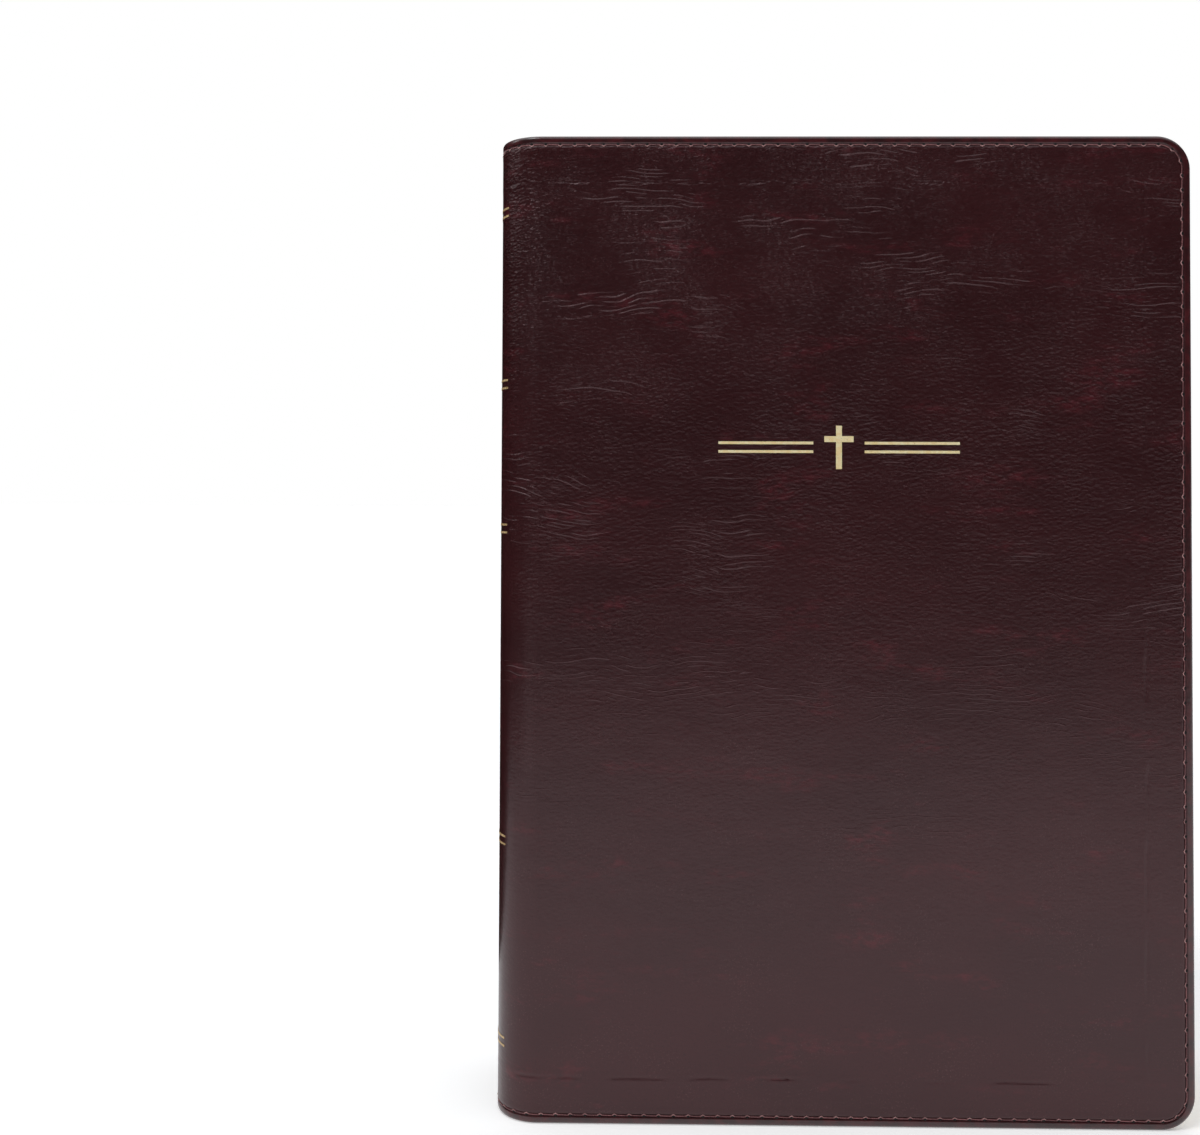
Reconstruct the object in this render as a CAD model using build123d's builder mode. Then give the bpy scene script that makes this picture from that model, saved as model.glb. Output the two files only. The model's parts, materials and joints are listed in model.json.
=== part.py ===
from build123d import *
import os
from math import cos, radians, sin, sqrt, tan

# A large-format devotional book in a soft leather-look binding, standing on its tail edge.
# +X runs from the spine to the fore-edge, +Y from the front cover to the back cover,
# +Z from tail to head. The origin is the middle of the footprint. Sizes are millimetres.

# Overall size of the closed book
WIDTH = 176.0
HEIGHT = 250.0
THICKNESS = 45.0

# Cover layers, from the outer face inwards
LEATHER = 0.8
BOARD = 0.8
TURN_IN = 0.5  # thinned leather folded over the board
LINING = 0.2
TURN_IN_WIDTH = 13.0
EDGE_WRAP = 1.0  # leather that goes round the board's edge
LINING_BORDER = 2.0  # leather left showing round the lining
COVER_CORNER = 8.5
LINING_CORNER = 3.0
ROLLED_EDGE = 0.6

# Stitch line round the free edges
STITCH_INSET = 1.9
STITCH_GROOVE = 0.8
STITCH_DEPTH = 0.35
THREAD_SUNK = 0.05
THREAD_CLEAR = 0.1

# Spine cross-section: two round shoulders and a nearly flat back
SHOULDER_RADIUS = 11.0
SHOULDER_TURN = 86.0
INLAY = 0.6
HOLLOW = 0.2  # between the spine's turn-in and the paper lining
SPINE_PAPER = 0.4
GAUZE = 0.3
SEWING_THREAD = 0.3
FOLD_CLEAR = 0.05
LINED_ANGLE = 24.0

# Gold foil, pressed level with the leather
FOIL = 0.12
ORNAMENT_X = -1.0
ORNAMENT_Z = 170.5
CROSS_HEIGHT = 11.0
CROSS_WIDTH = 7.4
CROSS_STROKE = 1.5
CROSS_ARM_DROP = 3.4  # from the cross's top to the middle of its arm
RULE_START = 6.5
RULE_LENGTH = 24.0
RULE_WIDTH = 0.7
RULE_SPACING = 2.2
FOIL_LINE = 0.5
FOIL_PAIR = 2.0
FOIL_ANGLE = 36.0
FOIL_HEIGHTS = (18.6, 69.7, 149.5, 186.8, 231.4)

# Text block
SQUARE = 3.5  # how far the covers reach past the pages at head and tail
FORE_SQUARE = 4.0
FORE_EDGE_HOLLOW = 3.0
PAGE_CORNER = 7.0
SECTIONS = 18
FLYLEAF = 0.3
COVER_CLEAR = 0.2
LEAF_CLEAR = 0.1
SEWING_STATIONS = 8
SEWING_MARGIN = 22.0
PAPER_MARGIN = 6.0
GAUZE_MARGIN = 14.0
BEAD_HEIGHT = 1.8
BEAD_WIDTH = 1.8

# How far each piece turns when a cover is opened fully
COVER_TURN = 175.0
FLYLEAF_RATIO = 0.8
SECTION_RATIOS = (0.7, 0.6, 0.5, 0.4, 0.3, 0.2)
JOINT_GAP = 0.3
TURN_CLEAR = 0.25  # between the opened cover's edge and the flyleaf

# Values worked out from the sizes above
shoulder_y = THICKNESS / 2 - SHOULDER_RADIUS
crown_angle = 90 - SHOULDER_TURN
crown_radius = SHOULDER_RADIUS + shoulder_y / cos(radians(SHOULDER_TURN))
crown_shift = shoulder_y * tan(radians(SHOULDER_TURN))
joint_x = crown_radius - crown_shift - WIDTH / 2
crown_x = joint_x + crown_shift
hinge_x = joint_x + JOINT_GAP
fore_x = WIDTH / 2
board_depth = LEATHER
turn_in_depth = board_depth + BOARD
lining_depth = turn_in_depth + TURN_IN
cover = lining_depth + LINING
spine_flap_depth = LEATHER + INLAY
paper_depth = spine_flap_depth + TURN_IN + HOLLOW
gauze_depth = paper_depth + SPINE_PAPER
sewing_depth = gauze_depth + GAUZE
seat_depth = sewing_depth + SEWING_THREAD + FOLD_CLEAR
flyleaf_y = THICKNESS / 2 - cover - COVER_CLEAR - FLYLEAF / 2
block = 2 * (flyleaf_y - FLYLEAF / 2 - LEAF_CLEAR)
section_pitch = (block + LEAF_CLEAR) / SECTIONS
section = section_pitch - LEAF_CLEAR
page_bottom = SQUARE
page_top = HEIGHT - SQUARE
page_height = page_top - page_bottom


def panel(right_inset, end_inset, radius):
    """Cover-shaped face from the hinge line, inset at the fore-edge and at both ends."""
    width = fore_x - right_inset - hinge_x
    with BuildSketch() as shape:
        with Locations((hinge_x + width / 2, HEIGHT / 2)):
            Rectangle(width, HEIGHT - 2 * end_inset)
        fillet(shape.vertices().group_by(Axis.X)[-1], radius)
    return shape.sketch


def inset_panel(inset):
    """Cover face inset by the same amount on its three free sides."""
    return panel(inset, inset, COVER_CORNER - inset)


def spine_point(depth, angle):
    """Point of the spine's curve at a depth and at an angle from the middle of its back."""
    side = 1 if angle > 0 else -1
    turn = radians(180 + angle)
    on_crown = abs(angle) <= crown_angle
    centre_x = crown_x if on_crown else joint_x
    centre_y = 0 if on_crown else -side * shoulder_y
    radius = (crown_radius if on_crown else SHOULDER_RADIUS) - depth
    return centre_x + radius * cos(turn), centre_y + radius * sin(turn)


def spine_band(outer, inner, reach):
    """Strip of the spine's cross-section between two depths, out to an angle each side."""
    crown = min(reach, crown_angle)
    with BuildSketch() as strip:
        with BuildLine():
            for depth in (outer, inner):
                CenterArc((crown_x, 0), crown_radius - depth, 180 - crown, 2 * crown)
                if reach > crown:
                    bend = SHOULDER_RADIUS - depth
                    CenterArc((joint_x, -shoulder_y), bend, 180 + crown, reach - crown)
                    CenterArc((joint_x, shoulder_y), bend, 180 - reach, reach - crown)
            for angle in (reach, -reach):
                Line(spine_point(outer, angle), spine_point(inner, angle))
        make_face()
    return strip.sketch


def fold_x(middle):
    """Centre of the rounded fold of a section that is seated in the spine's inner curve."""
    depth = seat_depth + section / 2
    bend = crown_radius - depth
    if abs(middle) <= bend * sin(radians(crown_angle)):
        return crown_x - sqrt(bend**2 - middle**2)
    reach = max(SHOULDER_RADIUS - depth, 0)
    rise = abs(middle) - shoulder_y
    return joint_x - sqrt(max(reach**2 - rise**2, 0))


def fore_edge_x(middle):
    """End of the pages at this place in the block, whose fore-edge is slightly hollow."""
    share = 2 * middle / block
    return fore_x - FORE_SQUARE - FORE_EDGE_HOLLOW * (1 - share**2)


def pivot_step(rise, reach, angle):
    """Step from one turning line to the next that keeps them a reach apart when turned."""
    return (reach - rise * cos(radians(angle))) / sin(radians(angle))


def strip_end(pivot, thickness, angle):
    """Where a fixed strip stops, clear of its own leaves both at rest and fully turned."""
    half = thickness / 2
    turned = pivot_step(half, half + LEAF_CLEAR, angle)
    return pivot - max(half + LEAF_CLEAR, turned)


def leaf_plan(start, end, middle, thickness):
    """Plan of folded leaves, with a rounded fold and a straight cut end."""
    with BuildSketch() as plan:
        with Locations((start, middle)):
            Circle(thickness / 2)
            Rectangle(end - start, thickness, align=(Align.MIN, Align.CENTER))
    return plan.sketch


def section_middle(number):
    """Middle of a section across the block, counted from the front."""
    return -block / 2 + section / 2 + number * section_pitch


# Turning lines of the front half; the back half mirrors them
flyleaf_rise = cover + COVER_CLEAR + FLYLEAF / 2
flyleaf_reach = cover + TURN_CLEAR + FLYLEAF / 2
flyleaf_turn = FLYLEAF_RATIO * COVER_TURN
flyleaf_x = hinge_x + pivot_step(flyleaf_rise, flyleaf_reach, flyleaf_turn)
section_pivots = []
fold_ends = []
last_x = flyleaf_x
last_half = FLYLEAF / 2
for ratio in SECTION_RATIOS:
    spacing = last_half + LEAF_CLEAR + section / 2
    turn = ratio * COVER_TURN
    last_x += pivot_step(spacing, spacing, turn)
    last_half = section / 2
    section_pivots.append(last_x)
    fold_ends.append(strip_end(last_x, section, turn))
turning = len(section_pivots)

# Flat shapes shared by several pieces
cover_face = inset_panel(0)
board_face = inset_panel(EDGE_WRAP)
recess_face = panel(TURN_IN_WIDTH, TURN_IN_WIDTH, LINING_CORNER)
lining_face = inset_panel(LINING_BORDER)
groove_outside = inset_panel(STITCH_INSET)
groove_inside = inset_panel(STITCH_INSET + STITCH_GROOVE)
thread_outside = inset_panel(STITCH_INSET + THREAD_CLEAR)
thread_inside = inset_panel(STITCH_INSET + STITCH_GROOVE - THREAD_CLEAR)
front_face = Plane.XZ.offset(THICKNESS / 2)
sub_parts = []


def keep(builder, name):
    """Name a finished piece and put it on the list of pieces to write."""
    builder.part.label = name
    sub_parts.append(builder.part)


# Foil ornament: a plain cross between two pairs of rules
with BuildSketch() as ornament_face:
    with Locations((ORNAMENT_X, ORNAMENT_Z)):
        Rectangle(CROSS_STROKE, CROSS_HEIGHT)
        with Locations((0, CROSS_HEIGHT / 2 - CROSS_ARM_DROP)):
            Rectangle(CROSS_WIDTH, CROSS_STROKE)
        for side in (1, -1):
            with Locations((side * (RULE_START + RULE_LENGTH / 2), 0)):
                with GridLocations(0, RULE_SPACING, 1, 2):
                    Rectangle(RULE_LENGTH, RULE_WIDTH)

# Cover skins: leather that wraps three edges of the board and is turned in behind it
with BuildPart() as plain_skin:
    with BuildSketch(front_face):
        add(cover_face)
    extrude(amount=-lining_depth)
    rolled = plain_skin.faces().sort_by(Axis.Y)[0].edges().sort_by(Axis.X)[1:]
    fillet(rolled, ROLLED_EDGE)
    with BuildSketch(front_face.offset(-board_depth)):
        add(board_face)
    extrude(amount=-BOARD, mode=Mode.SUBTRACT)
    with BuildSketch(front_face.offset(-turn_in_depth)):
        add(recess_face)
    extrude(amount=-TURN_IN, mode=Mode.SUBTRACT)
    with BuildSketch(front_face):
        add(groove_outside)
        add(groove_inside, mode=Mode.SUBTRACT)
    extrude(amount=-STITCH_DEPTH, mode=Mode.SUBTRACT)

with BuildPart() as front_cover_skin:
    add(plain_skin.part)
    with BuildSketch(front_face):
        add(ornament_face.sketch)
    extrude(amount=-FOIL, mode=Mode.SUBTRACT)
keep(front_cover_skin, "front_cover_skin")

with BuildPart() as back_cover_skin:
    mirror(plain_skin.part, about=Plane.XZ)
keep(back_cover_skin, "back_cover_skin")

# Foil ornament, level with the front cover's face
with BuildPart() as front_cover_ornament:
    with BuildSketch(front_face):
        add(ornament_face.sketch)
    extrude(amount=-FOIL)
keep(front_cover_ornament, "front_cover_ornament")

# Flexible boards that stiffen the covers
with BuildPart() as front_cover_board:
    with BuildSketch(front_face.offset(-board_depth)):
        add(board_face)
    extrude(amount=-BOARD)
keep(front_cover_board, "front_cover_board")

with BuildPart() as back_cover_board:
    mirror(front_cover_board.part, about=Plane.XZ)
keep(back_cover_board, "back_cover_board")

# Linings: each fills the space inside the turn-in and laps over it
with BuildPart() as front_cover_lining:
    with BuildSketch(front_face.offset(-turn_in_depth)):
        add(recess_face)
    extrude(amount=-TURN_IN)
    with BuildSketch(front_face.offset(-lining_depth)):
        add(lining_face)
    extrude(amount=-LINING)
keep(front_cover_lining, "front_cover_lining")

with BuildPart() as back_cover_lining:
    mirror(front_cover_lining.part, about=Plane.XZ)
keep(back_cover_lining, "back_cover_lining")

# Sewn thread lines, sunk in their grooves
with BuildPart() as front_cover_stitching:
    with BuildSketch(front_face.offset(-STITCH_DEPTH)):
        add(thread_outside)
        add(thread_inside, mode=Mode.SUBTRACT)
    extrude(amount=STITCH_DEPTH - THREAD_SUNK)
keep(front_cover_stitching, "front_cover_stitching")

with BuildPart() as back_cover_stitching:
    mirror(front_cover_stitching.part, about=Plane.XZ)
keep(back_cover_stitching, "back_cover_stitching")

# Spine skin: one bent strip, turned in over the inlay at head and tail
spine_face = spine_band(0, LEATHER, 90)
flap_face = spine_band(LEATHER, spine_flap_depth + TURN_IN, crown_angle)
inlay_face = spine_band(LEATHER, spine_flap_depth, crown_angle)
groove_band = spine_band(0, STITCH_DEPTH, 90)
foil_band = spine_band(0, FOIL, FOIL_ANGLE)
stitch_bottoms = (STITCH_INSET, HEIGHT - STITCH_INSET - STITCH_GROOVE)
foil_bottoms = [
    middle + side * FOIL_PAIR / 2 - FOIL_LINE / 2
    for middle in FOIL_HEIGHTS
    for side in (-1, 1)
]
with BuildPart() as spine_skin:
    with BuildSketch():
        add(spine_face)
    extrude(amount=HEIGHT)
    for bottom in (0, HEIGHT - TURN_IN_WIDTH):
        with BuildSketch(Plane.XY.offset(bottom)):
            add(flap_face)
        extrude(amount=TURN_IN_WIDTH)
    with BuildSketch(Plane.XY.offset(EDGE_WRAP)):
        add(inlay_face)
    extrude(amount=HEIGHT - 2 * EDGE_WRAP, mode=Mode.SUBTRACT)
    for bottom in stitch_bottoms:
        with BuildSketch(Plane.XY.offset(bottom)):
            add(groove_band)
        extrude(amount=STITCH_GROOVE, mode=Mode.SUBTRACT)
    for bottom in foil_bottoms:
        with BuildSketch(Plane.XY.offset(bottom)):
            add(foil_band)
        extrude(amount=FOIL_LINE, mode=Mode.SUBTRACT)
keep(spine_skin, "spine_skin")

# Card strip that keeps the spine's curve
with BuildPart() as spine_inlay:
    with BuildSketch(Plane.XY.offset(EDGE_WRAP)):
        add(inlay_face)
    extrude(amount=HEIGHT - 2 * EDGE_WRAP)
keep(spine_inlay, "spine_inlay")

# Thread across the spine's head and tail
thread_band = spine_band(THREAD_SUNK, STITCH_DEPTH, 90)
with BuildPart() as spine_stitching:
    for bottom in stitch_bottoms:
        with BuildSketch(Plane.XY.offset(bottom + THREAD_CLEAR)):
            add(thread_band)
        extrude(amount=STITCH_GROOVE - 2 * THREAD_CLEAR)
keep(spine_stitching, "spine_stitching")

# Pairs of gold lines across the spine
with BuildPart() as spine_foil_lines:
    for bottom in foil_bottoms:
        with BuildSketch(Plane.XY.offset(bottom)):
            add(foil_band)
        extrude(amount=FOIL_LINE)
keep(spine_foil_lines, "spine_foil_lines")

# Layers glued to the back of the sewn sections
paper_band = spine_band(paper_depth, gauze_depth, LINED_ANGLE)
with BuildPart() as spine_paper_lining:
    with BuildSketch(Plane.XY.offset(page_bottom + PAPER_MARGIN)):
        add(paper_band)
    extrude(amount=page_height - 2 * PAPER_MARGIN)
keep(spine_paper_lining, "spine_paper_lining")

gauze_band = spine_band(gauze_depth, sewing_depth, LINED_ANGLE)
with BuildPart() as spine_gauze:
    with BuildSketch(Plane.XY.offset(page_bottom + GAUZE_MARGIN)):
        add(gauze_band)
    extrude(amount=page_height - 2 * GAUZE_MARGIN)
keep(spine_gauze, "spine_gauze")

sewing_band = spine_band(sewing_depth, sewing_depth + SEWING_THREAD, LINED_ANGLE)
station_step = (page_height - 2 * SEWING_MARGIN) / (SEWING_STATIONS - 1)
with BuildPart() as sewing_threads:
    for station in range(SEWING_STATIONS):
        middle = page_bottom + SEWING_MARGIN + station * station_step
        with BuildSketch(Plane.XY.offset(middle - SEWING_THREAD / 2)):
            add(sewing_band)
        extrude(amount=SEWING_THREAD)
keep(sewing_threads, "sewing_threads")

# Sewn bands at the head and tail of the spine
bead_band = spine_band(paper_depth, paper_depth + BEAD_WIDTH, LINED_ANGLE)
with BuildPart() as headband:
    with BuildSketch(Plane.XY.offset(page_top)):
        add(bead_band)
    extrude(amount=BEAD_HEIGHT)
keep(headband, "headband")

with BuildPart() as tailband:
    with BuildSketch(Plane.XY.offset(page_bottom - BEAD_HEIGHT)):
        add(bead_band)
    extrude(amount=BEAD_HEIGHT)
keep(tailband, "tailband")

# Endsheets: the strip glued at the joint stays, and the flyleaf turns
endsheet_end = strip_end(flyleaf_x, FLYLEAF, flyleaf_turn)
with BuildPart() as front_endsheet_fold:
    with BuildSketch(Plane.XY.offset(page_bottom)):
        add(leaf_plan(hinge_x, endsheet_end, -flyleaf_y, FLYLEAF))
    extrude(amount=page_height)
keep(front_endsheet_fold, "front_endsheet_fold")

with BuildPart() as back_endsheet_fold:
    mirror(front_endsheet_fold.part, about=Plane.XZ)
keep(back_endsheet_fold, "back_endsheet_fold")

with BuildPart() as front_flyleaf:
    with BuildSketch(Plane.XY.offset(page_bottom)):
        add(leaf_plan(flyleaf_x, fore_edge_x(flyleaf_y), -flyleaf_y, FLYLEAF))
    extrude(amount=page_height)
    fillet(front_flyleaf.edges().filter_by(Axis.Y).group_by(Axis.X)[-1], PAGE_CORNER)
keep(front_flyleaf, "front_flyleaf")

with BuildPart() as back_flyleaf:
    mirror(front_flyleaf.part, about=Plane.XZ)
keep(back_flyleaf, "back_flyleaf")

# Sewn folds of the sections whose leaves turn
with BuildPart() as front_section_folds:
    for number, fold_end in enumerate(fold_ends):
        middle = section_middle(number)
        with BuildSketch(Plane.XY.offset(page_bottom)):
            add(leaf_plan(fold_x(middle), fold_end, middle, section))
        extrude(amount=page_height)
keep(front_section_folds, "front_section_folds")

with BuildPart() as back_section_folds:
    mirror(front_section_folds.part, about=Plane.XZ)
keep(back_section_folds, "back_section_folds")

# Page sections: the outer ones turn about their pivots, the middle ones stay with the spine
for number in range(SECTIONS):
    middle = section_middle(number)
    from_cover = min(number, SECTIONS - 1 - number)
    start = section_pivots[from_cover] if from_cover < turning else fold_x(middle)
    with BuildPart() as page_section:
        with BuildSketch(Plane.XY.offset(page_bottom)):
            add(leaf_plan(start, fore_edge_x(middle), middle, section))
        extrude(amount=page_height)
        fillet(page_section.edges().filter_by(Axis.Y).group_by(Axis.X)[-1], PAGE_CORNER)
    keep(page_section, f"page_section_{number + 1:02d}")

os.makedirs("parts", exist_ok=True)
for sub_part in sub_parts:
    export_step(sub_part, f"parts/{sub_part.label}.step")

print(f"joint x {joint_x:.3f}, hinge x {hinge_x:.3f}, flyleaf x {flyleaf_x:.3f} y {flyleaf_y:.3f}")
for number, pivot in enumerate(section_pivots):
    print(f"section {number + 1} pivot x {pivot:.3f} y {section_middle(number):.3f}")
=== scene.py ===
"""A leather-bound bible with gilt pages, standing on a pale floor."""
import json
from math import cos, exp, pi, radians, sin, sqrt, tan

import bmesh
import bpy
from mathutils import Matrix, Vector, noise


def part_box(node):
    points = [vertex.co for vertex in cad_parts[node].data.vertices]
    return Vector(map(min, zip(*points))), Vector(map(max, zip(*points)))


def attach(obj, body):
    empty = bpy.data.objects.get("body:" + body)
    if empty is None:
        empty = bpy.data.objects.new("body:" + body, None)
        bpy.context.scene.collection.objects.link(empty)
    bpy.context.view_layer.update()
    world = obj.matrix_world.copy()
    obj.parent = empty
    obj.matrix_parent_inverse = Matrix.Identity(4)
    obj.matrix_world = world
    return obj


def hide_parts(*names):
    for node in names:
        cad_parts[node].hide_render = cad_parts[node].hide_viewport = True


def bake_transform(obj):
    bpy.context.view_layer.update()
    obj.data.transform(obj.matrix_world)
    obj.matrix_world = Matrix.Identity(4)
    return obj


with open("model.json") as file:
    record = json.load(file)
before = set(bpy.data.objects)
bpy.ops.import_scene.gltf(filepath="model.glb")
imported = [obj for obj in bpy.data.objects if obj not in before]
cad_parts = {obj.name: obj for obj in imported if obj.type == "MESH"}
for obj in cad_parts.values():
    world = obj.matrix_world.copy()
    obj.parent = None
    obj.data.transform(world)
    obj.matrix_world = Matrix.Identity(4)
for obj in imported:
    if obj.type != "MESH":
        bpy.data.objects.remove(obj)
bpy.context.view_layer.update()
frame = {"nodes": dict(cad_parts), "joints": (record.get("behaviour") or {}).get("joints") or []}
joints = {joint["name"]: joint for joint in frame["joints"]}

MM = 0.001

# Closed book
WIDTH, HEIGHT, THICKNESS = 176.0, 250.0, 45.0
FORE_X = WIDTH / 2
FACE_Y = THICKNESS / 2
SHOULDER_RADIUS = 11.0
SHOULDER_TURN = 86.0
COVER_CORNER = 8.5

# Pages
SQUARE = 3.5
FORE_SQUARE = 4.0
FORE_EDGE_HOLLOW = 3.0
PAGE_CORNER = 7.0
PAGE_INSETS = (5.8, 4.4, 3.0, 1.6, 0.6, 0.0)
PAGE_BOTTOM, PAGE_TOP = SQUARE, HEIGHT - SQUARE
BLOCK = 39.2
SECTIONS = 18
LEAF_CLEAR = 0.1
SECTION_PITCH = (BLOCK + LEAF_CLEAR) / SECTIONS
SECTION = SECTION_PITCH - LEAF_CLEAR
SEAT_DEPTH = 3.15
FLYLEAF = 0.3
LEAF_FINE_BEFORE, LEAF_FINE_AFTER = 7, 12  # close columns, round a leaf's turning line
STILL_FINE_X = -60  # finest columns of a section that doesn't turn

# Leather wrap
LEATHER = 0.8
INNER_DEPTH = LEATHER + 0.02
FACE_SUNK = 0.05  # the foil stands this much proud of the leather
ROLL = 1.0
ROLL_IN = 0.85
EDGE_BORDER = 1.7  # width of the deeper red edge
BACK_DEPTH = 2.08
TURN_IN_END = 8.0
TURN_IN_DEPTH = 1.62
HOLLOW_INSET = 1.02
TURN_IN_STEP = 12.6  # the inner edge of the turn-in, which prints through the face
PRINT_LOW, PRINT_HIGH = 10.5, 14.0
WELT_INSET = 3.6  # the slight ridge beside the stitch line
BEND_HALF = 1.2
FACE_INSETS = (8.0, 7.3, 6.6, 5.9, 5.2, 4.6, 4.1, 3.7, 3.35, 3.05, 2.8, 2.6, 2.45,
               2.3, 2.15, 2.0, 1.8, 1.6, 1.3, ROLL)

# Stitches
STITCH_INSET = 2.3
STITCH_PITCH = 3.7
STITCH_SHARES = (0.02, 0.07, 0.15, 0.28, 0.42, 0.58, 0.72, 0.85, 0.93, 0.98)
GROOVE_WIDTH = 0.40
GROOVE_DEPTH = 0.32
THREAD_RADIUS = 0.16
THREAD_DEPTH = 0.20
THREAD_SINK = 0.30
HOLE_DEPTH = 0.50
HOLE_SHIFT = -0.10
HOLE_SHAPE = (  # place along the line, and radius
    (-0.46, 0.20), (-0.36, 0.36), (-0.16, 0.48), (0.16, 0.48), (0.36, 0.36), (0.46, 0.20))
LOOP_DEPTH = 0.08
LOOP_HALF = 0.72
LOOP_REACH = 0.40
LOOP_SHAPE = (  # share of its half width, and radius
    (-1.0, 0.08), (-0.7, 0.11), (-0.35, 0.14), (0.0, 0.17), (0.35, 0.14), (0.7, 0.11),
    (1.0, 0.08))

# Joint linings and headbands
FLYLEAF_FACE, LINING_FACE = 19.995, 20.205
JOINT_PAPER = 0.035
STRIP_FOLD, STRIP_END = 0.3, 3.2  # where the strip folds and ends, past the hinge
STRIP_BOW = 0.28
BEAD_PITCH = 1.0
BEAD_RADIUS = 0.86
BEAD_DEPTH = 3.0
BEAD_REACH = 23.5

shoulder_y = FACE_Y - SHOULDER_RADIUS
crown_angle = 90 - SHOULDER_TURN
crown_radius = SHOULDER_RADIUS + shoulder_y / cos(radians(SHOULDER_TURN))
crown_shift = shoulder_y * tan(radians(SHOULDER_TURN))
joint_x = crown_radius - crown_shift - FORE_X
crown_x = joint_x + crown_shift
shoulder_run = SHOULDER_RADIUS * radians(SHOULDER_TURN)
crown_run = crown_radius * radians(crown_angle)
spine_start = joint_x - shoulder_run - crown_run
hinge_x = joints["front_cover_hinge"]["pos_m"][0] / MM


def smooth(low, high, value):
    """0 below low, 1 above high, and a soft step between."""
    share = min(max((value - low) / (high - low), 0), 1)
    return share * share * (3 - 2 * share)


def spine_point(depth, angle):
    """Point of the spine's curve at a depth and at an angle from the middle of its back."""
    turn = radians(180 + angle)
    if abs(angle) <= crown_angle:
        radius = crown_radius - depth
        return crown_x + radius * cos(turn), radius * sin(turn)
    side = 1 if angle > 0 else -1
    radius = SHOULDER_RADIUS - depth
    return joint_x + radius * cos(turn), -side * shoulder_y + radius * sin(turn)


def wrap_point(run, depth):
    """Plan point of the front wrap, from its place along the cover and its depth."""
    if run >= joint_x:
        return run, -(FACE_Y - depth)
    back = joint_x - run
    if back <= shoulder_run:
        return spine_point(depth, 90 - back / SHOULDER_RADIUS / radians(1))
    left = (back - shoulder_run) / crown_radius / radians(1)
    return spine_point(depth, max(crown_angle - left, 1e-9))


def steps(start, end, size):
    """Even steps of about this size, with both ends."""
    count = max(1, round(abs(end - start) / size))
    return [start + (end - start) * i / count for i in range(count + 1)]


# ---------------------------------------------------------------- mesh tools
def make_object(name, verts, faces, mats, slots=None, rest=None, angle=40):
    """Object from points in millimetres, with its rest place kept for the materials."""
    mesh = bpy.data.meshes.new(name)
    mesh.from_pydata([tuple(c * MM for c in v) for v in verts], [], faces)
    mesh.validate()
    place = mesh.attributes.new("rest", "FLOAT_VECTOR", "POINT")
    flat = [c * MM for v in (rest or verts) for c in v]
    place.data.foreach_set("vector", flat)
    for mat in mats:
        mesh.materials.append(mat)
    if slots:
        mesh.polygons.foreach_set("material_index", slots)
    work = bmesh.new()
    work.from_mesh(mesh)
    bmesh.ops.recalc_face_normals(work, faces=work.faces)
    work.to_mesh(mesh)
    work.free()
    mesh.shade_smooth()
    mesh.set_sharp_from_angle(angle=radians(angle))
    obj = bpy.data.objects.new(name, mesh)
    bpy.context.scene.collection.objects.link(obj)
    return obj


class Plan:
    """Grid over a panel whose two fore-edge corners are rounded."""

    def __init__(self, runs, insets, radius, bottom, top, right, levels):
        # Runs are columns up to the corners, levels are rows between the corners,
        # and insets are the rings of the corners, outermost last.
        self.radius = radius
        self.corner_x = right - radius
        shares = [(radius - inset) / radius for inset in insets]
        self.columns = [(x, 0.0) for x in runs] + [(self.corner_x, s) for s in shares]
        low, high = bottom + radius, top - radius
        rows = [(low, -s) for s in reversed(shares)]
        rows += [(z, 0.0) for z in levels]
        self.rows = rows + [(high, s) for s in shares]
        self.bottom, self.top, self.right = bottom, top, right
        self.column_count = len(self.columns)
        self.row_count = len(self.rows)

    def centre_and_way(self, c, r):
        """Start of a grid point's ray, the ray's way, and its share of the corner radius."""
        x, a = self.columns[c]
        z, b = self.rows[r]
        size = max(a, abs(b))
        if size == 0:
            return x, z, 0.0, 0.0, 0.0
        if a >= abs(b):
            angle = radians(45 * abs(b) / a)
        else:
            angle = radians(90 - 45 * a / abs(b))
        way = -1 if b < 0 else 1
        return x, z, cos(angle), way * sin(angle), size

    def point(self, c, r):
        """Plan place of a grid point, and how far inside the edge it is."""
        x, z, dx, dz, size = self.centre_and_way(c, r)
        reach = self.radius * size
        if size > 0:
            inset = self.radius - reach
        else:
            inset = min(self.right - x, z - self.bottom, self.top - z)
        return x + dx * reach, z + dz * reach, inset

    def ring_point(self, c, r, inset):
        """Plan place of a boundary point, moved in by an inset."""
        x, z, dx, dz, _ = self.centre_and_way(c, r)
        reach = self.radius - inset
        return x + dx * reach, z + dz * reach

    def path(self, closed=False):
        """Boundary of the grid: tail, fore-edge, head, and the fold side if closed."""
        last_c, last_r = self.column_count - 1, self.row_count - 1
        way = [(c, 0) for c in range(self.column_count)]
        way += [(last_c, r) for r in range(1, last_r)]
        way += [(c, last_r) for c in range(last_c, -1, -1)]
        if closed:
            way += [(0, r) for r in range(last_r - 1, 0, -1)]
        return way


def grid_faces(plan, first):
    """Faces of a whole grid of points, which are numbered up each column from the first."""
    rows = plan.row_count
    return [
        (first + c * rows + r, first + (c + 1) * rows + r,
         first + (c + 1) * rows + r + 1, first + c * rows + r + 1)
        for c in range(plan.column_count - 1)
        for r in range(rows - 1)
    ]


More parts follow.
